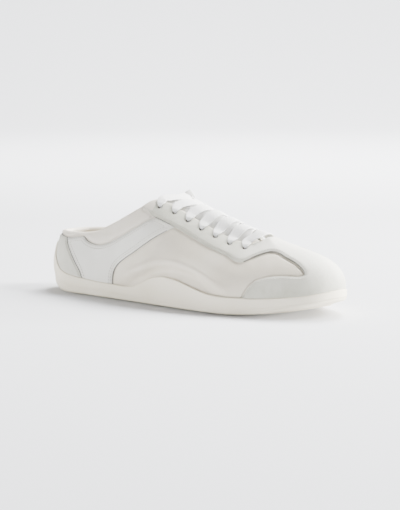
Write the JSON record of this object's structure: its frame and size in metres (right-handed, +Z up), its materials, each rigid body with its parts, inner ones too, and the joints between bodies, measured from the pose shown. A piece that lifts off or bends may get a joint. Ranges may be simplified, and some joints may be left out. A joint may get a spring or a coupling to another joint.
{
  "type": "sneaker mule",
  "caption": "Low backless-fit sneaker mule for the right foot: cup sole, hollow upper with overlays, padded collar, tongue and flat laces.",
  "frame": {"origin": "middle of the box round the shoe, at the plane it stands on", "axes": "+X to the toe, +Z up, -Y to the outer side of the right foot"},
  "size_m": [0.273, 0.0896, 0.083],
  "materials": {
    "rubber": "matt moulded rubber",
    "leather": "smooth, slightly grained",
    "suede": "short nap",
    "textile": "satin weave",
    "lining": "soft knitted lining",
    "cotton": "flat woven lace"
  },
  "bodies": {
    "root": {"sole": "rubber", "upper": "leather", "toe_eyestay": "suede", "heel_counter": "suede", "quarter_outer": "textile", "quarter_inner": "textile", "tongue": "lining", "insole": "lining", "laces": "cotton"}
  },
  "joints": []
}
